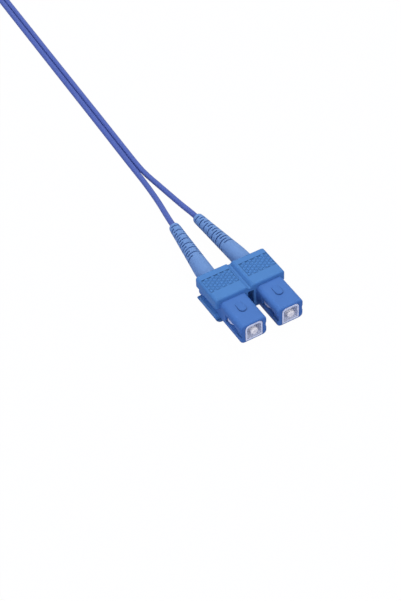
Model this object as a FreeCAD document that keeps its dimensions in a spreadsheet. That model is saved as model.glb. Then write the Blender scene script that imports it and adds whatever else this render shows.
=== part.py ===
"""Duplex SC fibre connector with its zip cord.

Two push-pull SC plugs sit side by side in one duplex clip.  X runs across the
pair, the plugs face -Y, the keys are up (+Z).  The origin is the middle of the
clip's underside.  Inside each plug, stations are measured backwards (+Y) from
the front face of the white plug frame.
"""
import FreeCAD, Part
import math
import os
import Sketcher
from FreeCAD import Placement, Rotation, Vector

SIZES = [
    # alias, millimetres or degrees, what it is
    ("pitch", 12.7, "distance between the two plug axes"),
    # outer housing, the grip that slides on the plug frame
    ("housing_width", 9.0, "across the key face"),
    ("housing_height", 7.3, "key face to back face"),
    ("housing_length", 24.6, "front lip to rear lip"),
    ("housing_corner", 1.4, "radius of the long corners"),
    ("housing_lip", 0.6, "rounding of the front and rear rims"),
    ("housing_set_back", 0.1, "front rim behind the frame's front face"),
    ("rear_bore", 6.2, "round mouth at the rear, for the boot"),
    ("rear_bore_depth", 5.4, "depth of that mouth"),
    ("window_set_back", 2.6, "front end of the side window"),
    ("window_length", 6.1, "side window along the plug"),
    ("window_height", 2.7, "side window, tall"),
    ("channel_height", 2.0, "latch channel from the front rim to the window"),
    ("channel_depth", 0.45, "latch channel"),
    ("pad_width", 2.2, "raised thumb mark on the key face"),
    ("pad_length", 4.4, "raised thumb mark"),
    ("pad_set_back", 5.2, "front end of the thumb mark"),
    ("pad_rise", 0.4, "height of the thumb mark"),
    ("slide_gap", 0.1, "gap between frame and housing on each side"),
    # plug frame
    ("frame_width", 5.8, "white inner frame, across"),
    ("frame_height", 5.9, "white inner frame, tall"),
    ("frame_length", 19.5, "white inner frame"),
    ("frame_corner", 1.4, "radius of the frame's corners on the key side"),
    ("frame_foot", 0.3, "radius of its other two corners"),
    ("frame_rim", 0.12, "softened outer edge of its front face"),
    ("mouth_size", 4.7, "square opening round the ferrule"),
    ("mouth_depth", 7.0, "depth of that opening"),
    ("mouth_corner", 0.95, "radius of the opening's corners on the key side"),
    ("partition", 1.0, "wall that stops the ferrule flange"),
    ("chamber_bore", 4.7, "spring chamber"),
    ("catch_reach", 0.95, "how far the catch stands out of the frame"),
    ("catch_start", 5.1, "front foot of the catch ramp"),
    ("catch_length", 3.4, "catch along the plug"),
    ("catch_height", 2.2, "catch, tall"),
    ("catch_ramp", 1.9, "sloping part of the catch"),
    ("catch_root", 0.2, "catch rooted in the frame's wall"),
    # ferrule train
    ("ferrule_bore_gap", 0.15, "ferrule to partition bore"),
    ("ferrule_size", 2.5, "ferrule diameter"),
    ("ferrule_length", 10.5, "ceramic ferrule"),
    ("ferrule_reach", 0.45, "tip ahead of the frame's front face"),
    ("ferrule_bevel", 0.35, "lead-in at the tip"),
    ("fibre_hole", 0.3, "hole at the tip"),
    ("buffer_seat", 2.0, "buffer inside the ferrule"),
    ("buffer_funnel", 0.4, "cone between the buffer's seat and the hole"),
    ("flange_size", 4.3, "flange disc"),
    ("flange_disc", 1.6, "flange disc thickness"),
    ("flange_slot", 0.7, "keyways in the disc"),
    ("flange_slot_depth", 0.6, "keyways, from the rim inwards"),
    ("flange_gap", 0.1, "flange to partition at rest"),
    ("tail_size", 2.3, "flange tail tube"),
    ("tail_length", 6.0, "flange tail tube behind the disc"),
    ("tail_flare", 0.5, "cone between the disc and the tail"),
    ("buffer_size", 0.9, "tight buffer on the fibre"),
    ("buffer_length", 13.0, "buffer behind the ferrule"),
    ("ferrule_travel", 1.5, "sprung stroke of the ferrule"),
    ("grip_travel", 1.6, "unlatching stroke of the housing"),
    ("spring_size", 3.9, "outer diameter of the spring"),
    ("spring_wire", 0.42, "spring wire"),
    ("spring_length", 6.4, "spring as fitted"),
    ("spring_clear", 0.02, "left free at each end of the spring"),
    ("spring_turns", 6, "turns"),
    # rear body, crimp sleeve
    ("body_bore", 2.7, "passage through the rear body"),
    ("body_lead", 0.3, "bevel where it enters the frame"),
    ("shoulder_size", 5.5, "shoulder behind the frame"),
    ("shoulder_length", 1.2, "shoulder behind the frame"),
    ("barb_size", 3.7, "knurled tail under the crimp sleeve"),
    ("barb_length", 6.6, "knurled tail"),
    ("barb_ring", 0.12, "depth of the tail's grip rings"),
    ("barb_rings", 5, "grip rings"),
    ("barb_plain", 1.0, "plain ends of the tail"),
    ("sleeve_size", 4.7, "crimp sleeve"),
    ("sleeve_gap", 0.1, "sleeve behind the shoulder"),
    ("sleeve_plain", 1.2, "round stretch in front of the crimp"),
    ("sleeve_flat", 0.14, "how deep the hexagonal crimp bites"),
    ("sleeve_crimp", 3.6, "crimped length"),
    # strain relief boot
    ("boot_base", 5.9, "outside at the housing"),
    ("boot_slit_size", 5.3, "outside where the slits begin"),
    ("boot_tip", 3.6, "outside at the tip"),
    ("boot_reach", 28.6, "boot behind the housing, along its axis"),
    ("boot_gap", 0.4, "boot behind the rear body's shoulder"),
    ("boot_entry", 3.6, "boot inside the housing"),
    ("boot_smooth", 9.6, "plain stretch behind the housing"),
    ("boot_belly", 0.08, "how far the plain stretch swells"),
    ("boot_rounding", 0.9, "rounded end at the tip"),
    ("boot_pocket", 8.6, "depth of the pocket over the crimp sleeve"),
    ("boot_fit", 0.05, "clearance round the crimp sleeve"),
    ("slit_count", 14, "levels of slits"),
    ("slit_start", 10.3, "first level behind the housing"),
    ("slit_end", 1.7, "last level ahead of the tip"),
    ("slit_width", 0.55, "slit along the boot"),
    ("slit_core", 2.0, "web left between opposite slits"),
    ("left_turn", 90.0, "how far the left boot's slits are turned about its axis"),
    ("right_turn", 33.0, "how far the right boot's slits are turned"),
    ("bend_start", 0.0, "where the boot starts to bend, behind the housing"),
    ("bend_length", 6.0, "length of the bend"),
    ("left_swing", 7.2, "left boot towards the other cord"),
    ("right_swing", 2.0, "right boot towards the other cord"),
    ("left_droop", 4.0, "left boot towards the surface"),
    ("right_droop", 5.2, "right boot towards the surface"),
    ("cord_seat", 1.2, "cord inside the boot's tip"),
    ("cord_clear", 0.1, "clearance round the cord there"),
    # duplex clip
    ("clip_length", 12.1, "along the plugs"),
    ("clip_set_back", 11.85, "front of the clip behind the housing's front"),
    ("clip_roof", 1.3, "wall above and below the housings"),
    ("clip_side", 1.2, "lips outside the housings"),
    ("clip_corner", 1.1, "rounding of the long outer corners at the top"),
    ("clip_foot", 2.0, "rounding of those at the underside"),
    ("clip_end", 0.6, "rounding of the pads' front and rear edges"),
    ("upper_lip", 3.6, "depth of the upper lip from the top"),
    ("lower_lip", 3.3, "height of the lower lip from the underside"),
    ("lip_set_back", 0.4, "lower lip behind the clip's front"),
    ("lip_rear_back", 1.9, "lower lip ahead of the clip's rear"),
    ("lip_round", 1.2, "rounded ends of the lower lip"),
    ("valley_width", 2.4, "groove between the pads"),
    ("valley_floor", 0.8, "its flat bottom"),
    ("valley_depth", 1.0, "its depth"),
    ("valley_shift", 0.3, "groove to the left of the middle"),
    ("valley_ease", 0.2, "softened upper edges of that groove"),
    ("web_gap", 2.0, "hollow between the plugs"),
    ("web_gap_depth", 4.0, "depth of that hollow"),
    ("web_skin", 1.2, "web left above and below the hollow"),
    ("knurl_pitch", 1.15, "knurl groove to groove"),
    ("knurl_depth", 0.24, "knurl groove"),
    ("knurl_width", 0.75, "knurl groove at the surface"),
    ("knurl_angle", 32.0, "degrees between a groove and the pads' front edge"),
    ("knurl_inner", 1.6, "knurl's inner edge from the clip's middle"),
    ("knurl_outer", 0.65, "plain band between the knurl and the clip's side"),
    ("knurl_front", 3.8, "plain band in front of the knurl"),
    ("knurl_rear", 2.4, "plain band behind the knurl"),
    # cord
    ("cord_size", 1.9, "each round cord of the zip pair"),
    ("zip_pitch", 1.95, "centre to centre in the zip pair"),
    ("cord_straight", 3.0, "straight cord past the boot's tip"),
    ("coil_x", -20.4, "coil centre"),
    ("coil_y", 213.0, "coil centre"),
    ("coil_outer", 29.4, "outer radius of the wound cord"),
    ("coil_inner", 13.2, "inner radius of the wound cord"),
    ("coil_gap", 0.05, "between a cord's end and the coil"),
]
CLEAR = 1.0  # how far a cutting shape runs past the material
CLOSE = 0.01  # tolerance for finding an edge by its place
BEND_SHARE = 0.45  # share of the shorter run that a cord's arc takes


class Size:
    """A number together with the sheet expression that gives it."""

    def __init__(self, number, text):
        self.number = float(number)
        self.text = text

    def __float__(self):
        return self.number

    def __neg__(self):
        return Size(-self.number, f"(-1 * {self.text})")

    def __add__(self, other):
        return Size(self.number + float(other), f"({self.text} + {written(other)})")

    def __sub__(self, other):
        return Size(self.number - float(other), f"({self.text} - {written(other)})")

    def __mul__(self, other):
        return Size(self.number * float(other), f"({self.text} * {written(other)})")

    def __truediv__(self, other):
        return Size(self.number / float(other), f"({self.text} / {written(other)})")

    __radd__ = __add__
    __rmul__ = __mul__


def written(value):
    return value.text if isinstance(value, Size) else repr(value)


class Sizes:
    """Every driving dimension as an attribute, such as sizes.pitch."""


doc = FreeCAD.newDocument("duplex_connector")
sheet = doc.addObject("Spreadsheet::Sheet", "Sizes")
sizes = Sizes()
for row, (alias, number, note) in enumerate(SIZES, start=1):
    sheet.set(f"A{row}", alias)
    sheet.set(f"B{row}", str(number))
    sheet.set(f"C{row}", note)
    sheet.setAlias(f"B{row}", alias)
    setattr(sizes, alias, Size(number, f"Sizes.{alias}"))
doc.recompute()

# ---------------------------------------------------------------- stations
# Local stations behind the frame's front face.
flange_front = sizes.mouth_depth + sizes.partition + sizes.flange_gap
ferrule_rear = sizes.ferrule_length - sizes.ferrule_reach
flange_rear = flange_front + sizes.flange_disc
spring_rear = flange_rear + sizes.spring_length
body_front = spring_rear
housing_front = sizes.housing_set_back
housing_rear = housing_front + sizes.housing_length
shoulder_rear = sizes.frame_length + sizes.shoulder_length
barb_rear = shoulder_rear + sizes.barb_length
boot_root = shoulder_rear + sizes.boot_gap + sizes.boot_entry
half_pitch = sizes.pitch / 2
axis_height = sizes.housing_height / 2 + sizes.clip_roof
# The frame's front face in the part's own frame.
clip_front = sizes.clip_length / -2
frame_front = clip_front - sizes.clip_set_back - sizes.housing_set_back


# ---------------------------------------------------------------- helpers
def bind(thing, prop, size):
    """Give a property its size and tie it to the sheet."""
    thing.setExpression(prop, written(size))


def place(thing, x, y, z):
    """Stand a piece at a point that follows the sheet."""
    thing.Placement.Base = Vector(float(x), float(y), float(z))
    for axis, size in (("x", x), ("y", y), ("z", z)):
        bind(thing, f"Placement.Base.{axis}", size)


def new_body(label):
    body = doc.addObject("PartDesign::Body", label)
    body.Label = label
    return body


def new_sketch(body, role, name, offset=None):
    """A sketch on one of the body's own origin planes, moved along its normal."""
    plane = [f for f in body.Origin.OriginFeatures if f.Role == role][0]
    sketch = body.newObject("Sketcher::SketchObject", name)
    sketch.AttachmentSupport = [(plane, "")]
    sketch.MapMode = "FlatFace"
    if offset is not None:
        bind(sketch, "AttachmentOffset.Base.z", offset)
    return sketch


def pin_point(sketch, line, x, y):
    """Hold the start of a line at a place that follows the sheet."""
    for kind, size in (("DistanceX", x), ("DistanceY", y)):
        number = sketch.addConstraint(
            Sketcher.Constraint(kind, -1, 1, line, 1, float(size)))
        if isinstance(size, Size):
            bind(sketch, f"Constraints[{number}]", size)


def outline(sketch, corners):
    """A closed outline of straight lines through corners (x, y)."""
    first = sketch.GeometryCount
    points = [Vector(float(x), float(y), 0) for x, y in corners]
    count = len(points)
    for i in range(count):
        sketch.addGeometry(Part.LineSegment(points[i], points[(i + 1) % count]))
    for i in range(count):
        following = first + (i + 1) % count
        sketch.addConstraint(Sketcher.Constraint("Coincident", first + i, 2, following, 1))
    for i, (x, y) in enumerate(corners):
        pin_point(sketch, first + i, x, y)


def rectangle(sketch, left, right, low, high):
    outline(sketch, [(left, low), (right, low), (right, high), (left, high)])


def disc(sketch, size, x=0, y=0):
    """A circle of that diameter."""
    number = sketch.addGeometry(
        Part.Circle(Vector(float(x), float(y), 0), Vector(0, 0, 1), float(size) / 2))
    for kind, at in (("DistanceX", x), ("DistanceY", y)):
        held = sketch.addConstraint(Sketcher.Constraint(kind, -1, 1, number, 3, float(at)))
        if isinstance(at, Size):
            bind(sketch, f"Constraints[{held}]", at)
    wide = sketch.addConstraint(Sketcher.Constraint("Diameter", number, float(size)))
    bind(sketch, f"Constraints[{wide}]", size)


def pad_back(body, sketch, length):
    """Pad an XZ sketch towards +Y."""
    pad = body.newObject("PartDesign::Pad", "Pad")
    pad.Profile = sketch
    pad.Reversed = True
    bind(pad, "Length", length)
    doc.recompute()
    return pad


def pocket_back(body, sketch, length=None):
    """Cut an XZ sketch towards +Y, all the way when no length is given."""
    pocket = body.newObject("PartDesign::Pocket", "Pocket")
    pocket.Profile = sketch
    if length is None:
        pocket.Type = 1
    else:
        bind(pocket, "Length", length)
    doc.recompute()
    return pocket


def cut_through(body, sketch):
    """Cut a sketch both ways, right through the body."""
    pocket = body.newObject("PartDesign::Pocket", "Through")
    pocket.Profile = sketch
    pocket.Type = 1
    pocket.Midplane = True
    doc.recompute()
    return pocket


def revolve(body, sketch):
    """Turn an XY profile round the plug's axis."""
    turned = body.newObject("PartDesign::Revolution", "Revolution")
    turned.Profile = sketch
    turned.ReferenceAxis = (sketch, ["V_Axis"])
    turned.Angle = 360
    doc.recompute()
    return turned


def round_edges(body, radius, wanted, kind="PartDesign::Fillet"):
    """Round or bevel the edges of the body that the test picks."""
    base = body.Tip
    names = [f"Edge{i}" for i, edge in enumerate(base.Shape.Edges, start=1) if wanted(edge)]
    worked = body.newObject(kind, kind.split("::")[1])
    worked.Base = (base, names)
    bind(worked, "Radius" if kind.endswith("Fillet") else "Size", radius)
    doc.recompute()
    return worked


def runs_along(edge, axis):
    """True for a straight edge along that axis."""
    if edge.Curve.TypeId != "Part::GeomLine":
        return False
    direction = edge.Vertexes[-1].Point - edge.Vertexes[0].Point
    return direction.getAngle(axis) < 0.01 or direction.getAngle(-axis) < 0.01


def turned_piece(label, profile):
    """A body of revolution about Y; profile is (radius, station) corners."""
    body = new_body(label)
    sketch = new_sketch(body, "XY_Plane", "Profile")
    outline(sketch, profile)
    revolve(body, sketch)
    return body


ACROSS = Vector(1, 0, 0)
ALONG = Vector(0, 1, 0)


def on_front(edge, station):
    """True for an edge that lies in the plane of that station."""
    box = edge.BoundBox
    return abs(box.YMin - station) < CLOSE and abs(box.YMax - station) < CLOSE


def long_edge(edge, x, z):
    """True for an edge along Y at that distance either side of the middle and height."""
    at = edge.Vertexes[0].Point
    return (runs_along(edge, ALONG) and abs(abs(at.x) - float(x)) < CLOSE
            and abs(at.z - float(z)) < CLOSE)


# ---------------------------------------------------------------- plug pieces
def outer_housing(label):
    """The blue grip: a moulded tube with side windows, latch channels and mark."""
    body = new_body(label)
    half_width = sizes.housing_width / 2
    half_height = sizes.housing_height / 2
    shell = new_sketch(body, "XZ_Plane", "Shell", -housing_front)
    rectangle(shell, -half_width, half_width, -half_height, half_height)
    pad_back(body, shell, sizes.housing_length)
    round_edges(body, sizes.housing_corner, lambda edge: runs_along(edge, ALONG))
    ends = (float(housing_front), float(housing_rear))
    round_edges(body, sizes.housing_lip, lambda e: on_front(e, ends[0]) or on_front(e, ends[1]))
    cavity = new_sketch(body, "XZ_Plane", "Cavity", -housing_front)
    cavity_x = sizes.frame_width / 2 + sizes.slide_gap
    cavity_z = sizes.frame_height / 2 + sizes.slide_gap
    rectangle(cavity, -cavity_x, cavity_x, -cavity_z, cavity_z)
    pocket_back(body, cavity)
    round_edges(body, sizes.frame_corner, lambda e: long_edge(e, cavity_x, cavity_z))
    mouth = new_sketch(body, "XZ_Plane", "RearMouth", sizes.rear_bore_depth - housing_rear)
    disc(mouth, sizes.rear_bore)
    pocket_back(body, mouth)
    window = new_sketch(body, "YZ_Plane", "Window")
    window_front = housing_front + sizes.window_set_back
    half_window = sizes.window_height / 2
    rectangle(window, window_front, window_front + sizes.window_length, -half_window, half_window)
    cut_through(body, window)
    channel = new_sketch(body, "XZ_Plane", "LatchChannel", -housing_front)
    floor = half_width - sizes.channel_depth
    half_channel = sizes.channel_height / 2
    rectangle(channel, floor, half_width + CLEAR, -half_channel, half_channel)
    rectangle(channel, -half_width - CLEAR, -floor, -half_channel, half_channel)
    pocket_back(body, channel, sizes.window_set_back)
    mark = new_sketch(body, "XY_Plane", "ThumbMark", half_height)
    mark_front = housing_front + sizes.pad_set_back
    stadium(mark, sizes.pad_width, mark_front, mark_front + sizes.pad_length)
    raised = body.newObject("PartDesign::Pad", "RaisedMark")
    raised.Profile = mark
    bind(raised, "Length", sizes.pad_rise)
    doc.recompute()
    mark_rear = mark_front + sizes.pad_length
    slope = new_sketch(body, "YZ_Plane", "MarkSlope")
    outline(slope, [(mark_front, half_height + sizes.pad_rise), (mark_rear, half_height),
                    (mark_rear, half_height + CLEAR), (mark_front, half_height + CLEAR)])
    cut_through(body, slope)
    return body


def stadium(sketch, width, front, rear):
    """A rounded-ended outline along Y, built from two lines and two arcs."""
    radius = width / 2
    start = front + radius
    end = rear - radius
    r, a, b = float(radius), float(start), float(end)
    first = sketch.addGeometry(Part.LineSegment(Vector(r, a, 0), Vector(r, b, 0)))
    circle = Part.Circle(Vector(0, b, 0), Vector(0, 0, 1), r)
    sketch.addGeometry(Part.ArcOfCircle(circle, 0, math.pi))
    sketch.addGeometry(Part.LineSegment(Vector(-r, b, 0), Vector(-r, a, 0)))
    circle = Part.Circle(Vector(0, a, 0), Vector(0, 0, 1), r)
    sketch.addGeometry(Part.ArcOfCircle(circle, math.pi, 2 * math.pi))
    joints = [(0, 2, 1, 1), (1, 2, 2, 1), (2, 2, 3, 1), (3, 2, 0, 1)]
    for one, end_one, two, end_two in joints:
        sketch.addConstraint(Sketcher.Constraint(
            "Tangent", first + one, end_one, first + two, end_two))
    for arc, at in ((3, start), (1, end)):
        held = sketch.addConstraint(Sketcher.Constraint("DistanceY", -1, 1, first + arc, 3, float(at)))
        bind(sketch, f"Constraints[{held}]", at)
    sketch.addConstraint(Sketcher.Constraint("PointOnObject", first + 3, 3, -2))
    wide = sketch.addConstraint(Sketcher.Constraint("Radius", first + 3, r))
    bind(sketch, f"Constraints[{wide}]", radius)


def plug_frame(label):
    """The white inner frame: ferrule mouth, partition, spring chamber, catches."""
    body = new_body(label)
    half_width = sizes.frame_width / 2
    half_height = sizes.frame_height / 2
    shell = new_sketch(body, "XZ_Plane", "Shell")
    rectangle(shell, -half_width, half_width, -half_height, half_height)
    pad_back(body, shell, sizes.frame_length)
    round_edges(body, sizes.frame_corner, lambda e: long_edge(e, half_width, half_height))
    round_edges(body, sizes.frame_foot, lambda e: long_edge(e, half_width, -half_height))
    round_edges(body, sizes.frame_rim, lambda e: on_front(e, 0))
    mouth = new_sketch(body, "XZ_Plane", "Mouth")
    half_mouth = sizes.mouth_size / 2
    rectangle(mouth, -half_mouth, half_mouth, -half_mouth, half_mouth)
    pocket_back(body, mouth, sizes.mouth_depth)
    round_edges(body, sizes.mouth_corner, lambda e: long_edge(e, half_mouth, half_mouth))
    round_edges(body, sizes.frame_foot, lambda e: long_edge(e, half_mouth, -half_mouth))
    catches = new_sketch(body, "XY_Plane", "Catches", -sizes.catch_height / 2)
    catch_end = sizes.catch_start + sizes.catch_length
    ramp_end = sizes.catch_start + sizes.catch_ramp
    reach = half_width + sizes.catch_reach
    root = half_width - sizes.catch_root
    for side in (1, -1):
        outline(catches, [(root * side, sizes.catch_start), (half_width * side, sizes.catch_start),
                          (reach * side, ramp_end), (reach * side, catch_end),
                          (root * side, catch_end)])
    blocks = body.newObject("PartDesign::Pad", "CatchBlocks")
    blocks.Profile = catches
    bind(blocks, "Length", sizes.catch_height)
    doc.recompute()
    guide = new_sketch(body, "XZ_Plane", "FerruleGuide")
    disc(guide, sizes.ferrule_size + sizes.ferrule_bore_gap * 2)
    pocket_back(body, guide)
    chamber = new_sketch(body, "XZ_Plane", "SpringChamber", -sizes.mouth_depth - sizes.partition)
    disc(chamber, sizes.chamber_bore)
    pocket_back(body, chamber)
    return body


def ferrule(label):
    """The ceramic ferrule, bevelled at its tip."""
    radius = sizes.ferrule_size / 2
    hole = sizes.fibre_hole / 2
    tip = -sizes.ferrule_reach
    seat = ferrule_rear - sizes.buffer_seat
    return turned_piece(label, [
        (hole, tip), (radius - sizes.ferrule_bevel, tip), (radius, tip + sizes.ferrule_bevel),
        (radius, ferrule_rear), (sizes.buffer_size / 2, ferrule_rear),
        (sizes.buffer_size / 2, seat), (hole, seat - sizes.buffer_funnel)])


def ferrule_flange(label):
    """The metal flange that carries the ferrule: disc with keyways, and a tail."""
    seat = sizes.ferrule_size / 2
    rim = sizes.flange_size / 2
    tail = sizes.tail_size / 2
    bore = sizes.buffer_size / 2
    body = turned_piece(label, [
        (seat, flange_front), (rim, flange_front), (rim, flange_rear),
        (tail + sizes.tail_flare, flange_rear), (tail, flange_rear + sizes.tail_flare),
        (tail, flange_rear + sizes.tail_length),
        (bore, flange_rear + sizes.tail_length), (bore, ferrule_rear), (seat, ferrule_rear)])
    keyways = new_sketch(body, "XZ_Plane", "Keyways", -flange_front)
    half = sizes.flange_slot / 2
    floor = rim - sizes.flange_slot_depth
    beyond = rim + CLEAR
    rectangle(keyways, floor, beyond, -half, half)
    rectangle(keyways, -beyond, -floor, -half, half)
    rectangle(keyways, -half, half, floor, beyond)
    rectangle(keyways, -half, half, -beyond, -floor)
    pocket_back(body, keyways, sizes.flange_disc)
    return body


def fibre_buffer(label):
    """The 0.9 mm buffer that runs from the ferrule towards the cord."""
    radius = sizes.buffer_size / 2
    start = ferrule_rear - sizes.buffer_seat
    end = start + sizes.buffer_length
    return turned_piece(label, [(0, start), (radius, start), (radius, end), (0, end)])


def rear_body(label):
    """The metal body that closes the frame and holds the crimp."""
    bore = sizes.body_bore / 2
    plug = sizes.chamber_bore / 2
    barb = sizes.barb_size / 2
    shoulder = sizes.shoulder_size / 2
    ring = sizes.barb_ring
    lead = sizes.body_lead
    profile = [(bore, body_front), (plug - lead, body_front), (plug, body_front + lead),
               (plug, sizes.frame_length), (shoulder, sizes.frame_length),
               (shoulder, shoulder_rear), (barb, shoulder_rear)]
    step = (sizes.barb_length - sizes.barb_plain * 2) / sizes.barb_rings
    for i in range(round(float(sizes.barb_rings))):
        start = shoulder_rear + sizes.barb_plain + step * i
        profile += [(barb, start), (barb - ring, start),
                    (barb - ring, start + step / 2), (barb, start + step / 2)]
    profile += [(barb, barb_rear), (bore, barb_rear)]
    return turned_piece(label, profile)


def crimp_sleeve(label):
    """The tube that clamps the cord's aramid yarn, with a hexagonal crimp."""
    inner = sizes.barb_size / 2
    outer = sizes.sleeve_size / 2
    front = shoulder_rear + sizes.sleeve_gap
    body = turned_piece(label, [(inner, front), (outer, front), (outer, barb_rear),
                                (inner, barb_rear)])
    crimp_start = front + sizes.sleeve_plain
    hexagon = new_sketch(body, "XZ_Plane", "CrimpFlats", -crimp_start)
    across = outer - sizes.sleeve_flat
    wide = outer + CLEAR
    ratio = 1 / math.cos(math.pi / 6)
    turns = [math.pi / 6 + math.pi / 3 * i for i in range(6)]
    outline(hexagon, [(wide * (ratio * math.cos(a)), wide * (ratio * math.sin(a))) for a in turns])
    outline(hexagon, [(across * (ratio * math.cos(a)), across * (ratio * math.sin(a))) for a in turns])
    pocket_back(body, hexagon, sizes.sleeve_crimp)
    return body


def spring(label):
    """The compression spring: hexagons lofted along a helix, open at both ends."""
    wire = float(sizes.spring_wire) / 2
    radius = float(sizes.spring_size) / 2 - wire
    clear = float(sizes.spring_clear) + wire
    start = float(flange_rear) + clear
    rise = (float(sizes.spring_length) - 2 * clear) / float(sizes.spring_turns)
    slope = math.atan(rise / (2 * math.pi * radius))
    per_turn = 10
    sides = 6
    sections = []
    for i in range(round(float(sizes.spring_turns) * per_turn) + 1):
        turn = 2 * math.pi * i / per_turn
        out = Vector(math.cos(turn), 0, math.sin(turn))
        along = Vector(0, math.sin(slope), 0)
        along += Vector(-math.sin(turn), 0, math.cos(turn)) * math.cos(slope)
        side = along.cross(out)
        middle = out * radius + ALONG * (start + rise * i / per_turn)
        corners = [middle + (out * math.cos(a) + side * math.sin(a)) * wire
                   for a in (2 * math.pi * k / sides for k in range(sides))]
        sections.append(Part.makePolygon(corners + corners[:1]))
    return free_shape(label, Part.makeLoft(sections, True, True))


def free_shape(label, shape):
    piece = doc.addObject("Part::Feature", label)
    piece.Label = label
    piece.Shape = shape
    return piece


# ---------------------------------------------------------------- boots
def boot_frames(swing, droop, stations):
    """Centre and direction of a boot at lengths behind the housing."""
    towards = Vector(math.sin(math.radians(swing)), 0, -math.sin(math.radians(droop)))
    turn = math.asin(towards.Length)
    towards.normalize()
    start = float(sizes.bend_start)
    length = float(sizes.bend_length)
    radius = length / turn
    frames = []
    for station in stations:
        along = min(max(station - start, 0), length)
        angle = along / radius
        rest = max(station - start - length, 0)
        forward = ALONG * math.cos(angle) + towards * math.sin(angle)
        centre = ALONG * min(station, start)
        centre += ALONG * radius * math.sin(angle) + towards * radius * (1 - math.cos(angle))
        centre += forward * rest
        frames.append((centre, forward))
    return frames


def boot(label, swing, droop, turn):
    """The slotted strain relief, tapering and bent towards the cord."""
    reach = float(sizes.boot_reach)
    smooth = float(sizes.boot_smooth)
    rounding = float(sizes.boot_rounding)
    base, waist, tip = [float(s) / 2 for s in (sizes.boot_base, sizes.boot_slit_size, sizes.boot_tip)]
    entry = -float(sizes.boot_entry)
    belly = (base + waist) / 2 + float(sizes.boot_belly)
    stations = [(entry, base), (0, base), (smooth / 2, belly), (smooth, waist)]
    taper = reach - rounding - smooth
    stations += [(smooth + taper * k / 4, waist + (tip - waist) * k / 4) for k in range(1, 5)]
    stations += [(reach - rounding * 0.35, tip - rounding * 0.12), (reach, tip - rounding * 0.45)]
    sections = []
    for (centre, forward), (_, radius) in zip(boot_frames(swing, droop, [s for s, _ in stations]), stations):
        sections.append(Part.Wire(Part.makeCircle(radius, centre, forward)))
    solid = Part.makeLoft(sections, True, False)
    slots = []
    core = float(sizes.slit_core)
    width = float(sizes.slit_width)
    wide = 2 * (base + CLEAR)
    count = round(float(sizes.slit_count))
    first, last = float(sizes.slit_start), reach - float(sizes.slit_end)
    levels = [first + (last - first) * i / (count - 1) for i in range(count)]
    for i, (centre, forward) in enumerate(boot_frames(swing, droop, levels)):
        turned = Rotation(ALONG, forward).multiply(Rotation(ALONG, turn + 90 * (i % 2)))
        for side in (0, 180):
            depth = wide / 2
            slot = Part.makeBox(wide, width, depth, Vector(-wide / 2, -width / 2, core / 2))
            slot.rotate(Vector(0, 0, 0), ALONG, side)
            slot.Placement = Placement(centre, turned).multiply(slot.Placement)
            slots.append(slot)
    solid = solid.cut(Part.makeCompound(slots))
    pocket = Part.makeCylinder(float(sizes.sleeve_size) / 2 + float(sizes.boot_fit),
                               float(sizes.boot_pocket), Vector(0, entry, 0), ALONG)
    centre, forward = boot_frames(swing, droop, [reach])[0]
    seat = Part.makeCylinder(float(sizes.cord_size) / 2 + float(sizes.cord_clear),
                             float(sizes.cord_seat) + CLEAR, centre + forward * CLEAR, -forward)
    return free_shape(label, solid.cut(Part.makeCompound([pocket, seat])).Solids[0])


# ---------------------------------------------------------------- clip
def duplex_clip(label):
    """Two C-shaped channels back to back in one moulding, with knurled pads."""
    body = new_body(label + "_moulding")
    top = sizes.housing_height / 2 + sizes.clip_roof
    half_width = sizes.housing_width / 2
    half_tall = sizes.housing_height / 2
    edge = half_pitch + half_width + sizes.clip_side
    shift = sizes.valley_shift
    lip = sizes.valley_width / 2
    floor = top - sizes.valley_depth
    flat = sizes.valley_floor / 2
    ease = sizes.valley_ease
    brow = lip + ease * math.sqrt(2)
    eased = top - sizes.valley_depth / (lip - flat) * ease
    shell = new_sketch(body, "XZ_Plane", "Shell")
    outline(shell, [(-edge, -top), (edge, -top), (edge, top), (brow - shift, top), (lip - ease - shift, eased),
                    (flat - shift, floor), (-flat - shift, floor), (ease - lip - shift, eased),
                    (-brow - shift, top),
                    (-edge, top)])
    pad_back(body, shell, sizes.clip_length)
    round_edges(body, sizes.clip_corner, lambda e: long_edge(e, edge, top))
    round_edges(body, sizes.clip_foot, lambda e: long_edge(e, edge, -top))
    ends = (0, float(sizes.clip_length))
    high = float(top)
    round_edges(body, sizes.clip_end,
                lambda e: (on_front(e, ends[0]) or on_front(e, ends[1]))
                and e.BoundBox.ZMin > high - CLOSE)
    channels = new_sketch(body, "XZ_Plane", "Channels")
    rectangle(channels, half_pitch - half_width, half_pitch + half_width, -half_tall, half_tall)
    rectangle(channels, -half_pitch - half_width, half_width - half_pitch, -half_tall, half_tall)
    pocket_back(body, channels)
    tall = float(half_tall)
    reach = float(half_width) + CLOSE
    round_edges(body, sizes.housing_corner,
                lambda e: runs_along(e, ALONG) and abs(abs(e.Vertexes[0].Z) - tall) < CLOSE
                and abs(abs(e.Vertexes[0].X) - float(half_pitch)) < reach)
    low_lip = sizes.lower_lip - top
    high_lip = top - sizes.upper_lip
    inside = half_pitch + half_width / 2
    slots = new_sketch(body, "XZ_Plane", "SideSlots")
    rectangle(slots, inside, edge + CLEAR, low_lip, high_lip)
    rectangle(slots, -edge - CLEAR, -inside, low_lip, high_lip)
    pocket_back(body, slots)
    shorten_lower_lips(body, inside, edge, top)
    hollow = new_sketch(body, "XZ_Plane", "WebHollow")
    half_gap = sizes.web_gap / 2
    rectangle(hollow, -half_gap, half_gap, sizes.web_skin - top, floor - sizes.web_skin)
    pocket_back(body, hollow, sizes.web_gap_depth)
    cut = doc.addObject("Part::Cut", label)
    cut.Label = label
    cut.Base = body
    cut.Tool = knurl(edge, top)
    return cut


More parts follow.
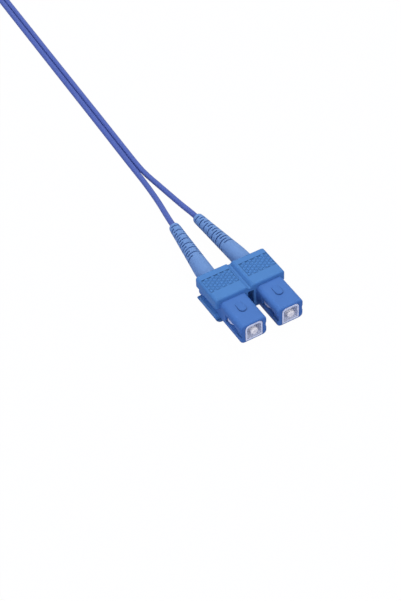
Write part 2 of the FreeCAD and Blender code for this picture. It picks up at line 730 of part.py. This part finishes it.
def shorten_lower_lips(body, inside, edge, top):
    """Set the lower lips' ends back from the pads' ends, with round corners."""
    below = sizes.clip_roof - top
    above = sizes.lower_lip - top + CLEAR
    rear_start = sizes.clip_length - sizes.lip_rear_back
    for name, start, length in (("FrontEnds", None, sizes.lip_set_back),
                                ("RearEnds", -rear_start, sizes.lip_rear_back)):
        ends = new_sketch(body, "XZ_Plane", name, start)
        rectangle(ends, inside, edge + CLEAR, below, above)
        rectangle(ends, -edge - CLEAR, -inside, below, above)
        pocket_back(body, ends, length)
    stations = (float(sizes.lip_set_back), float(rear_start))
    lip_top = float(sizes.lower_lip - top)
    round_edges(body, sizes.lip_round,
                lambda e: runs_along(e, ACROSS) and abs(e.Vertexes[0].Z - lip_top) < CLOSE
                and (on_front(e, stations[0]) or on_front(e, stations[1])))


def knurl(edge, top):
    """Two crossing sets of vee grooves over each upper pad, as one tool."""
    depth = float(sizes.knurl_depth)
    pitch = float(sizes.knurl_pitch)
    inner = float(sizes.knurl_inner)
    outer = float(edge - sizes.knurl_outer)
    front = float(sizes.knurl_front)
    rear = float(sizes.clip_length - sizes.knurl_rear)
    middle = Vector((inner + outer) / 2, (front + rear) / 2, float(top))
    reach = math.hypot(outer - inner, rear - front)
    count = int(reach / pitch / 2)
    high = depth / 4
    half = float(sizes.knurl_width) / 2 * (depth + high) / depth
    vee = Part.Wire(Part.makePolygon([Vector(-reach, -half, high), Vector(-reach, 0, -depth),
                                      Vector(-reach, half, high), Vector(-reach, -half, high)]))
    groove = Part.Face(vee).extrude(ACROSS * 2 * reach)
    area = Part.makeBox(outer - inner, rear - front, 2 * CLEAR,
                        Vector(inner, front, float(top) - CLEAR))
    grooves = []
    for slant in (sizes.knurl_angle, -sizes.knurl_angle):
        for i in range(-count, count + 1):
            bar = groove.copy()
            bar.translate(Vector(0, i * pitch, 0))
            bar.rotate(Vector(0, 0, 0), Vector(0, 0, 1), float(slant))
            bar.translate(middle)
            grooves.append(bar)
    right_pad = grooves[0].multiFuse(grooves[1:]).common(area)
    left_pad = right_pad.mirror(Vector(0, 0, 0), ACROSS)
    return free_shape("knurl_grooves", Part.makeCompound([right_pad, left_pad]))


# ---------------------------------------------------------------- cords
def cord_tube(label, route):
    """A round cord along straight runs joined by tangent arcs."""
    edges = []
    radii = []
    start = route[0]
    for before, corner, after in zip(route, route[1:], route[2:]):
        back = before - corner
        ahead = after - corner
        half_turn = (math.pi - back.getAngle(ahead)) / 2
        shorter = min(back.Length, ahead.Length)
        setback = BEND_SHARE * shorter
        radii.append(setback / math.tan(half_turn))
        back.normalize()
        ahead.normalize()
        enter = corner + back * setback
        leave = corner + ahead * setback
        middle = back + ahead
        middle.normalize()
        sag = radii[-1] * (1 / math.cos(half_turn) - 1)
        edges.append(Part.LineSegment(start, enter).toShape())
        edges.append(Part.Arc(enter, corner + middle * sag, leave).toShape())
        start = leave
    edges.append(Part.LineSegment(start, route[-1]).toShape())
    path = Part.Wire(edges)
    direction = route[1] - route[0]
    ring = Part.Wire(Part.makeCircle(float(sizes.cord_size) / 2, route[0], direction))
    tube = path.makePipeShell([ring], True, True)
    section = math.pi * float(sizes.cord_size) ** 2 / 4
    print(f"{label}: {path.Length:.1f} mm, arc radii",
          " ".join(f"{radius:.0f}" for radius in radii),
          f"volume {tube.Volume:.1f} of {section * path.Length:.1f}")
    return free_shape(label, tube)


def cord_coil(label):
    """The outer shape of the wound cord, two layers of the flat pair."""
    body = new_body(label)
    sketch = new_sketch(body, "XZ_Plane", "Winding")
    top = sizes.cord_size * 2
    bevel = sizes.cord_size / 3
    outline(sketch, [(sizes.coil_inner + bevel, 0), (sizes.coil_outer - bevel, 0),
                     (sizes.coil_outer, bevel), (sizes.coil_outer, top - bevel),
                     (sizes.coil_outer - bevel, top), (sizes.coil_inner + bevel, top),
                     (sizes.coil_inner, top - bevel), (sizes.coil_inner, bevel)])
    revolve(body, sketch)
    return body


# The zip pair's middle line behind the split, laid on the surface (x, y).
ZIP_ROUTE = [(1.58, 68.3), (1.97, 78.5), (2.66, 95.0), (3.76, 124.0), (4.91, 154.0),
             (6.1, 184.0), (7.1, 213.0)]
# Each cord between its boot and the split (x, y, z).
LEFT_LEG = [(-2.07, 42.2, 2.4), (-0.83, 49.1, 1.6), (0.0, 56.5, 1.1), (0.43, 62.6, 0.95)]
RIGHT_LEG = [(4.66, 42.6, 2.2), (4.24, 49.5, 1.5), (3.7, 56.5, 1.05), (2.95, 62.6, 0.95)]


def meets_coil(x):
    """How far back a cord at that x can go before it touches the coil."""
    across = x - float(sizes.cord_size) / 2 - float(sizes.coil_x)
    outer = float(sizes.coil_outer)
    deep = math.sqrt(max(outer ** 2 - across ** 2, 0))
    return float(sizes.coil_y) - deep - float(sizes.coil_gap)


def cord_route(plug_x, swing, droop, leg, side):
    """The points of one cord, from inside its boot's tip to the coil."""
    reach = float(sizes.boot_reach)
    tip, forward = boot_frames(swing, droop, [reach])[0]
    tip += Vector(float(plug_x), float(frame_front + boot_root), float(axis_height))
    points = [tip - forward * float(sizes.cord_seat), tip + forward * float(sizes.cord_straight)]
    points += [Vector(*point) for point in leg]
    offset = side * float(sizes.zip_pitch) / 2
    low = float(sizes.cord_size) / 2
    points += [Vector(x + offset, y, low) for x, y in ZIP_ROUTE]
    before, last = points[-2], points[-1]
    slope = (last.x - before.x) / (last.y - before.y)
    end = last.y
    for _ in range(4):
        end = meets_coil(before.x + slope * (end - before.y))
    points[-1] = Vector(before.x + slope * (end - before.y), end, low)
    return points


# ---------------------------------------------------------------- build
# Name, middle, swing, droop and turn of the boot, leg and side of the zip pair.
SIDES = [("left", -half_pitch, sizes.left_swing, sizes.left_droop, sizes.left_turn, LEFT_LEG, -1),
         ("right", half_pitch, -sizes.right_swing, sizes.right_droop, sizes.right_turn,
          RIGHT_LEG, 1)]
pieces = []
for name, x, swing, droop, turn, leg, side in SIDES:
    plug = [outer_housing(f"outer_housing_{name}"), plug_frame(f"plug_frame_{name}"),
            ferrule(f"ferrule_{name}"), ferrule_flange(f"ferrule_flange_{name}"),
            fibre_buffer(f"fibre_buffer_{name}"), rear_body(f"rear_body_{name}"),
            crimp_sleeve(f"crimp_sleeve_{name}"), spring(f"spring_{name}")]
    for piece in plug:
        place(piece, x, frame_front, axis_height)
    strain = boot(f"boot_{name}", float(swing), float(droop), float(turn))
    place(strain, x, frame_front + boot_root, axis_height)
    route = cord_route(x, float(swing), float(droop), leg, side)
    pieces += plug + [strain, cord_tube(f"cord_{name}", route)]
coil = cord_coil("cord_coil")
place(coil, sizes.coil_x, sizes.coil_y, Size(0, "0"))
pieces.append(coil)
clip = duplex_clip("duplex_clip")
place(clip, 0, clip_front, axis_height)
pieces.append(clip)
doc.recompute()

for thing in doc.Objects:
    if "Invalid" in thing.State or "Error" in thing.State:
        raise RuntimeError(f"{thing.Name} did not compute: {thing.State}")
for piece in pieces:
    if piece.Shape.isNull() or not piece.Shape.isValid():
        raise RuntimeError(f"{piece.Label} has no valid shape")
os.makedirs("parts", exist_ok=True)
for piece in pieces:
    piece.Shape.exportStep(f"parts/{piece.Label}.step")
    print(piece.Label, len(piece.Shape.Solids), round(piece.Shape.Volume, 2))
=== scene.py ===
# %% [markdown]
# # A duplex fibre connector
# Two square plugs sit side by side in one clip, each with a slotted boot and its own
# round cord, and the two cords join into a zip pair. The CAD frame brings every piece
# at its real size and place. This lesson gives each piece its finish, lays the cords,
# and sets up a small bright studio. All lengths are in metres.

# %% Load the frame
import math
import bpy
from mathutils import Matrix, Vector


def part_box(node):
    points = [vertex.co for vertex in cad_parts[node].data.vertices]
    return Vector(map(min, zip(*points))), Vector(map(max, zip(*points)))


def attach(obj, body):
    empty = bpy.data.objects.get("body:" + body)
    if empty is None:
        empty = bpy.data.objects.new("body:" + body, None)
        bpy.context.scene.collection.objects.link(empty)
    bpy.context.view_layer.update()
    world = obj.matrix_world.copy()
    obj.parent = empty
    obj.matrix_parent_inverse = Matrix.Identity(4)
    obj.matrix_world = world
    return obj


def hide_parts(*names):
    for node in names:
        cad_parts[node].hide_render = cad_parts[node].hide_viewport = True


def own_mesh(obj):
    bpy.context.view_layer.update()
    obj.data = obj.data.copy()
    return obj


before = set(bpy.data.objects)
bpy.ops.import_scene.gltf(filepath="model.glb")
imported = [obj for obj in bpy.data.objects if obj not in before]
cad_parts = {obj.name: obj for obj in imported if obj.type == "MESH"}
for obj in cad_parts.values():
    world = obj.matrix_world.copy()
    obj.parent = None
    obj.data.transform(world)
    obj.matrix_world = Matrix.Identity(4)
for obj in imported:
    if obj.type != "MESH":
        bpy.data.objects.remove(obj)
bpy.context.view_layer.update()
scene = bpy.context.scene
MM = 0.001

# %% [markdown]
# ## Two small helpers
# Paint colours are written as sRGB hex values, as a paint chart gives them, and turned
# to the linear values that light is worked out in. The other helper adds one shader
# node with its settings and its links, so a material reads as a list of its parts.

# %% Colour and node helpers
def linear(code):
    """An sRGB hex colour as linear RGBA."""
    channels = [int(code[i:i + 2], 16) / 255 for i in (1, 3, 5)]
    return [c / 12.92 if c <= 0.04045 else ((c + 0.055) / 1.055) ** 2.4 for c in channels] + [1]


def add_node(tree, kind, sockets=None, **settings):
    """Add a node; sockets gives each input a value or another node's output."""
    node = tree.nodes.new("ShaderNode" + kind)
    for name, value in settings.items():
        setattr(node, name, value)
    for socket, value in (sockets or {}).items():
        if isinstance(value, bpy.types.NodeSocket):
            tree.links.new(value, node.inputs[socket])
        else:
            node.inputs[socket].default_value = value
    return node


def new_material(name):
    """An empty material and its node tree."""
    material = bpy.data.materials.new(name)
    material.use_nodes = True
    material.node_tree.nodes.clear()
    return material, material.node_tree


# %% [markdown]
# ## Camera
# A three-quarter view from above the plugs' left side shows the ferrule mouths, the
# knurled pads and the boots at once. The lens is long, so the plugs' edges stay nearly
# parallel. The camera looks at the point midway between the plugs' front faces, and
# the shift moves that point down and right of the middle, where it leaves room for
# the cords.

# %% Camera
AZIMUTH, ELEVATION, DISTANCE = -32.59, 46.95, 0.3844
LENS, SHIFT_RIGHT, SHIFT_UP = 78.6, -0.120, 0.036
NEAR_CLIP = 10 * MM
frame_low, frame_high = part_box("plug_frame_left")
pitch = abs(frame_low.x + frame_high.x)
axis_height = (frame_low.z + frame_high.z) / 2
target = Vector((0, frame_low.y, axis_height))
turn, rise = math.radians(AZIMUTH), math.radians(ELEVATION)
towards_camera = Vector((math.sin(turn) * math.cos(rise), -math.cos(turn) * math.cos(rise),
                         math.sin(rise)))
camera_data = bpy.data.cameras.new("camera")
camera_data.lens = LENS
camera_data.shift_x = SHIFT_RIGHT
camera_data.shift_y = SHIFT_UP
camera_data.clip_start = NEAR_CLIP
camera = bpy.data.objects.new("camera", camera_data)
camera.location = target + towards_camera * DISTANCE
camera.rotation_mode = "QUATERNION"
camera.rotation_quaternion = (-towards_camera).to_track_quat("-Z", "Y")
scene.collection.objects.link(camera)
scene.camera = camera
print("plug pitch", round(pitch / MM, 2), "mm, axis", round(axis_height / MM, 2), "mm up")

# %% [markdown]
# ## Cords
# Each cord is a 1.9 mm round jacket that leaves the tip of its boot, sinks to the
# surface and meets its twin. From the split on, the two run as a zip pair, held by a
# thin web a little below the middle, and the rest of the metre lies in a flat coil of
# two layers. A cord could be a tube swept in the mesh editor, but a curve keeps its
# thickness and its real length in a few points. A NURBS curve of order 3 was chosen
# because it bends as a flexible jacket does, without kinks. The coil's turns are worked
# out in a loop: inwards on the surface, a short climb, and outwards again on top.

# %% Cord sizes and routes
CORD, ZIP_PITCH = 1.9 * MM, 1.95 * MM
WEB, WEB_DROP = 0.5 * MM, 0.3 * MM
SPLIT = (1.54, 66.6)
ZIP_ROUTE = [(1.58, 68.3), (1.97, 78.5), (2.66, 95.0), (3.76, 124.0), (4.91, 154.0), (6.1, 184.0)]
LEFT_LEG = [(-3.29, 33.86, 3.25), (-2.77, 38.01, 2.95), (-2.07, 42.2, 2.4), (-0.83, 49.1, 1.6),
            (0.0, 56.5, 1.1), (0.43, 62.6, 0.95)]
RIGHT_LEG = [(5.5, 33.99, 2.74), (5.35, 38.17, 2.36), (4.66, 42.6, 2.2), (4.24, 49.5, 1.5),
             (3.7, 56.5, 1.05), (2.95, 62.6, 0.95)]

# %% [markdown]
# ## The coil
# The pair winds in to a small ring, climbs one layer, and winds out again on top, so
# both ends of the coil stay free. Plain circles would need joints between them. A
# radius that changes evenly with the turn gives one line without joints.

# %% Coil
POINTS_A_TURN = 16
coil_low, coil_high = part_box("cord_coil")
coil_middle = (coil_low + coil_high) / 2
OUTER_TURN = (coil_high.x - coil_low.x) / 2 - CORD / 2 - ZIP_PITCH / 2
TURN_STEP = 3.95 * MM
LOWER_TURNS, CLIMB, UPPER_TURNS = 3.0, 0.25, 2.95


def coil_points(side):
    """Points along one cord of the wound pair; side is -1 inside and 1 outside."""
    points = []
    inner = OUTER_TURN - TURN_STEP * LOWER_TURNS
    total = LOWER_TURNS + CLIMB + UPPER_TURNS
    for i in range(round(total * POINTS_A_TURN) + 1):
        turn = i / POINTS_A_TURN
        climbed = min(max((turn - LOWER_TURNS) / CLIMB, 0), 1)
        radius = OUTER_TURN - TURN_STEP * min(turn, LOWER_TURNS)
        radius += TURN_STEP * max(turn - LOWER_TURNS - CLIMB, 0)
        radius += side * ZIP_PITCH / 2
        angle = 2 * math.pi * turn
        points.append((coil_middle.x + radius * math.cos(angle),
                       coil_middle.y + radius * math.sin(angle), CORD / 2 + CORD * climbed))
    return points


print("coil mean turn", round(2 * OUTER_TURN / MM - TURN_STEP * LOWER_TURNS / MM, 1), "mm across")

# %% One cord's whole route
def cord_points(leg, side):
    """The whole route of one cord: its own leg, the zip pair, then the coil."""
    offset = side * ZIP_PITCH / 2
    own = [(x * MM, y * MM, z * MM) for x, y, z in leg]
    paired = [(x * MM + offset, y * MM, CORD / 2) for x, y in ZIP_ROUTE]
    return own + paired + coil_points(side)


# %% A round bar along a spline
ROUND_STEPS, SPAN_STEPS = 6, 8


def nurbs_piece(name, points, diameter):
    """A round bar along a smooth open spline; each point's radius gives its thickness."""
    curve = bpy.data.curves.new(name, "CURVE")
    curve.dimensions = "3D"
    curve.bevel_depth = 1
    curve.bevel_resolution = ROUND_STEPS
    curve.resolution_u = SPAN_STEPS
    curve.use_fill_caps = True
    spline = curve.splines.new("NURBS")
    spline.points.add(len(points) - 1)
    for point, place in zip(spline.points, points):
        point.co = (*place, 1)
        point.radius = diameter / 2
    spline.order_u = 3
    spline.use_endpoint_u = True
    piece = bpy.data.objects.new(name, curve)
    scene.collection.objects.link(piece)
    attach(piece, "plug_core")
    return piece


# %% Lay the cords
cords = {}
for name, leg, side in (("left", LEFT_LEG, -1), ("right", RIGHT_LEG, 1)):
    cord = nurbs_piece("jacket_" + name, cord_points(leg, side), CORD)
    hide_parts("cord_" + name, "cord_coil")
    cords[name] = cord
web_points = [(x * MM, y * MM, CORD / 2) for x, y in [SPLIT] + ZIP_ROUTE] + coil_points(0)
web = nurbs_piece("zip_web", [(x, y, z - WEB_DROP) for x, y, z in web_points], WEB)
print("cords:", {name: len(cord.data.splines[0].points) for name, cord in cords.items()}, "points")

# %% [markdown]
# ## Plastics
# The housings, the clip and the boots are three blue plastics that differ a little:
# the housings are a deeper blue PBT, the clip a lighter one, and the boots and the
# cord jackets are flexible PVC. All were moulded or extruded, so each has a fine
# satin grain, which spreads its highlights, and a slight unevenness of colour.
# The finish could be painted on each piece. Noise worked out from a grain size is used
# instead, because it fits every piece at its real scale. The real grain is finer than
# the 0.15 mm used here, and would not show. A Bevel node rounds the sharp edges in the
# shading alone, so the mesh keeps its size. An Ambient Occlusion node paints shade into
# the tight grooves: their colour is made darker where little open space is near. The
# white frame and the zirconia ferrules have the same build with a smoother surface. One
# function makes them all.

# %% Moulded plastic
CLOUD = 4 * MM
GLOSS_SPREAD, BUMP_SHARE, BUMP_DEPTH = 0.06, 0.08, 0.02 * MM
# Painted shade in grooves is full where the AO node finds this little open space (TIGHT), and none
# from OPEN on.
TIGHT, OPEN = 0.35, 0.95
NOOK_RAYS, EDGE_RAYS = 16, 12


def moulded_plastic(name, colour, roughness=0.42, grain=0.15, mottle=0.06, sheen=0.08,
                    edge=0.15, groove=0.35, reach=0.5):
    """A satin plastic: fine grain in gloss and bump, faint mottling, painted shade in grooves."""
    material, tree = new_material(name)
    place = add_node(tree, "TexCoord").outputs["Object"]
    cloud = add_node(tree, "TexNoise", {"Vector": place, "Scale": 1 / CLOUD, "Detail": 3})
    fine = add_node(tree, "TexNoise", {"Vector": place, "Scale": 1 / (grain * MM), "Detail": 2})
    base = linear(colour)
    shade = add_node(tree, "Mix", data_type="RGBA")
    shade.inputs["A"].default_value = [c * (1 - mottle) for c in base[:3]] + [1]
    shade.inputs["B"].default_value = [min(c * (1 + mottle), 1) for c in base[:3]] + [1]
    tree.links.new(cloud.outputs["Fac"], shade.inputs["Factor"])
    # Painted shade: where the AO node finds a tight groove, the colour is darkened towards base ×
    # groove.
    nook = add_node(tree, "AmbientOcclusion", {"Distance": reach * MM}, samples=NOOK_RAYS,
                    only_local=True)
    open_share = add_node(tree, "MapRange", {"Value": nook.outputs["AO"],
                                             "From Min": TIGHT, "From Max": OPEN})
    groove_painted_shade = add_node(tree, "Mix", data_type="RGBA")
    groove_painted_shade.inputs["A"].default_value = [c * groove for c in base[:3]] + [1]
    tree.links.new(shade.outputs["Result"], groove_painted_shade.inputs["B"])
    tree.links.new(open_share.outputs["Result"], groove_painted_shade.inputs["Factor"])
    gloss = add_node(tree, "MapRange", {"Value": fine.outputs["Fac"],
                                        "To Min": roughness - GLOSS_SPREAD,
                                        "To Max": roughness + GLOSS_SPREAD})
    soft = add_node(tree, "Bevel", {"Radius": edge * MM}, samples=EDGE_RAYS)
    bump = add_node(tree, "Bump", {"Height": fine.outputs["Fac"], "Strength": BUMP_SHARE,
                                   "Distance": BUMP_DEPTH, "Normal": soft.outputs["Normal"]})
    surface = add_node(tree, "BsdfPrincipled", {
        "Base Color": groove_painted_shade.outputs["Result"], "Roughness": gloss.outputs["Result"],
        "Normal": bump.outputs["Normal"], "Specular IOR Level": sheen})
    add_node(tree, "OutputMaterial", {"Surface": surface.outputs["BSDF"]})
    return material


# %% The moulded finishes
# groove is how dark the painted shade in tight grooves gets; 1 paints none.
housing_pbt = moulded_plastic("housing_blue_pbt", "#4A76BA", roughness=0.5)
clip_pbt = moulded_plastic("clip_blue_pbt", "#4E81BF", roughness=0.5, edge=0.06, groove=0.2)
boot_pvc = moulded_plastic("boot_blue_pvc", "#6F94CA", roughness=0.5, edge=0.03,
                           groove=0.45, reach=0.4)
jacket_pvc = moulded_plastic("cord_violet_pvc", "#5467AE", roughness=0.42)
frame_pbt = moulded_plastic("frame_white_pbt", "#E9EEFF", roughness=0.3, mottle=0.02, groove=0.8)
buffer_nylon = moulded_plastic("buffer_white_nylon", "#E8E8E4", mottle=0.02, groove=0.8)
zirconia = moulded_plastic("zirconia_ceramic", "#FBF7F5", roughness=0.2, mottle=0.01, groove=1.0)
print("blues:", housing_pbt.name, clip_pbt.name, boot_pvc.name, jacket_pvc.name)

# %% [markdown]
# ## Metals
# The flange and the rear body are turned brass with a nickel plate, and the crimp
# sleeve and the spring are steel. They sit inside the plugs and show only when the
# model is taken apart. The lathe's rings could be modelled, but they are far finer
# than the parts, so a wave pattern varies the roughness along the axis instead. That
# gives the eye a band of soft and sharp glints.

# %% Turned and drawn metal
RING = 2 * MM
RING_WANDER, RING_SPREAD = 1.5, 0.08


def turned_metal(name, colour, roughness=0.3):
    """A metal with fine rings left by the lathe, square to the plug's axis."""
    material, tree = new_material(name)
    place = add_node(tree, "TexCoord").outputs["Object"]
    rings = add_node(tree, "TexWave", {"Vector": place, "Scale": 1 / RING,
                                     "Distortion": RING_WANDER}, bands_direction="Y")
    gloss = add_node(tree, "MapRange", {"Value": rings.outputs["Fac"],
                                        "To Min": roughness - RING_SPREAD,
                                        "To Max": roughness + RING_SPREAD})
    surface = add_node(tree, "BsdfPrincipled", {
        "Base Color": linear(colour), "Metallic": 1, "Roughness": gloss.outputs["Result"]})
    add_node(tree, "OutputMaterial", {"Surface": surface.outputs["BSDF"]})
    return material


# %% The metal finishes
# Satin nickel is a warm pale grey, crimped steel is duller, and spring wire is drawn bright.
nickel_plate = turned_metal("nickel_plated_brass", "#C9C4B8")
crimp_steel = turned_metal("crimped_steel", "#B4B6B8", 0.38)
spring_steel = turned_metal("spring_steel", "#A9ABAD", 0.28)

# %% [markdown]
# ## Finish every piece
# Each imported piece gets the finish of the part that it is, whichever plug it belongs
# to. A table from the piece's plain name to its finish says this in one place.

# %% Finish every piece
FINISHES = {
    "outer_housing": housing_pbt, "plug_frame": frame_pbt, "ferrule": zirconia,
    "ferrule_flange": nickel_plate, "fibre_buffer": buffer_nylon, "rear_body": nickel_plate,
    "crimp_sleeve": crimp_steel, "spring": spring_steel, "boot": boot_pvc,
    "duplex_clip": clip_pbt, "cord": jacket_pvc, "cord_coil": jacket_pvc,
}
for name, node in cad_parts.items():
    kind = name.replace("_left", "").replace("_right", "")
    node.data.materials.clear()
    node.data.materials.append(FINISHES[kind])
for piece in (*cords.values(), web):
    piece.data.materials.append(jacket_pvc)
print("finishes in use:", len(set(FINISHES.values())))

# %% [markdown]
# ## Springs
# A ferrule that is pushed back shortens its spring. The spring could be wound again for
# each position, but a copy of the imported one already has the right turns and seats. A
# copy is used because the imported piece itself is never changed.

# %% Spring copies
for side in ("left", "right"):
    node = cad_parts["spring_" + side]
    wire = bpy.data.objects.new("spring_wire_" + side, node.data.copy())
    wire.matrix_world = node.matrix_world.copy()
    scene.collection.objects.link(wire)
    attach(wire, "plug_core")
    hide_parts("spring_" + side)
    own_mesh(wire)

# %% [markdown]
# ## Studio
# The part lies on a plain pale sheet. For the camera and for reflections the sheet
# and the world are white, while the light that they give the part is held lower and
# is dimmer on the side away from the sun, so that the part's sides stay deep blue.
# A broad sun high behind the right side lights the tops at about the level at which
# a colour renders as it is written. Two weaker suns fill in: one from the front
# reaches into the plugs' mouths, and one from the left lights the clip's near side.
# Area lamps could do the same, but suns light the plugs and the far coil alike.

# %% What the camera and reflections see
def seen_directly(tree):
    """1 for camera, glossy and transmitted rays, 0 for light falling on the part."""
    rays = add_node(tree, "LightPath")
    seen = add_node(tree, "Math", {0: rays.outputs["Is Camera Ray"],
                                   1: rays.outputs["Is Glossy Ray"]}, operation="MAXIMUM")
    seen = add_node(tree, "Math", {0: seen.outputs[0],
                                   1: rays.outputs["Is Transmission Ray"]}, operation="MAXIMUM")
    return seen.outputs[0]


# %% Sheet
HALF_SHEET, SHEET_GAP = 3.0, 0.02 * MM
WHITE_SHARE, WHITE_LEVEL = 0.97, 1.02
floor_mesh = bpy.data.meshes.new("floor")
floor_mesh.from_pydata([(-HALF_SHEET, -HALF_SHEET, 0), (HALF_SHEET, -HALF_SHEET, 0),
                        (HALF_SHEET, HALF_SHEET, 0), (-HALF_SHEET, HALF_SHEET, 0)],
                       [], [(0, 1, 2, 3)])
floor = bpy.data.objects.new("floor", floor_mesh)
floor.location.z = -SHEET_GAP
scene.collection.objects.link(floor)
sheet_white, tree = new_material("pale_sheet")
paper = add_node(tree, "BsdfDiffuse", {"Color": linear("#8088A8")})
white = add_node(tree, "Emission", {"Color": (1, 1, 1, 1), "Strength": WHITE_LEVEL})
share = add_node(tree, "Math", {0: seen_directly(tree), 1: WHITE_SHARE}, operation="MULTIPLY")
mixed = add_node(tree, "MixShader", {"Fac": share.outputs[0], 1: paper.outputs[0],
                                     2: white.outputs[0]})
add_node(tree, "OutputMaterial", {"Surface": mixed.outputs[0]})
floor_mesh.materials.append(sheet_white)

# %% World
TOWARDS_LIGHT = (0.39, 0.3, 0.87)
DIM_UP_TO, OPEN_FROM = -0.2, 0.7
DIM_SIDE = (0.2, 0.25, 0.42, 1)
OPEN_SIDE = (0.45, 0.45, 0.47, 1)
world = bpy.data.worlds.new("studio")
scene.world = world
world.use_nodes = True
tree = world.node_tree
tree.nodes.clear()
direction = add_node(tree, "TexCoord").outputs["Generated"]
height = add_node(tree, "VectorMath", {0: direction, 1: TOWARDS_LIGHT}, operation="DOT_PRODUCT")
open_sky = add_node(tree, "MapRange", {"Value": height.outputs["Value"],
                                       "From Min": DIM_UP_TO, "From Max": OPEN_FROM})
light = add_node(tree, "Mix", data_type="RGBA")
light.inputs["A"].default_value = DIM_SIDE
light.inputs["B"].default_value = OPEN_SIDE
tree.links.new(open_sky.outputs["Result"], light.inputs["Factor"])
shown = add_node(tree, "Mix", data_type="RGBA")
shown.inputs["B"].default_value = (1, 1, 1, 1)
tree.links.new(seen_directly(tree), shown.inputs["Factor"])
tree.links.new(light.outputs["Result"], shown.inputs["A"])
sky = add_node(tree, "Background", {"Color": shown.outputs["Result"], "Strength": 1})
add_node(tree, "OutputWorld", {"Surface": sky.outputs[0]})


# %% Suns
def sun(name, energy, angle, towards):
    """A sun lamp of that angle across, in degrees, shining from that direction."""
    data = bpy.data.lights.new(name, "SUN")
    data.energy = energy
    data.angle = math.radians(angle)
    lamp = bpy.data.objects.new(name, data)
    lamp.rotation_mode = "QUATERNION"
    lamp.rotation_quaternion = (-Vector(towards)).to_track_quat("-Z", "Y")
    scene.collection.objects.link(lamp)


sun("high_sun", 1.45, 30, TOWARDS_LIGHT)
sun("front_fill", 1.05, 40, (-0.15, -0.85, 0.5))
sun("left_fill", 0.85, 40, (-0.9, 0.1, 0.4))
scene.view_settings.view_transform = "Standard"
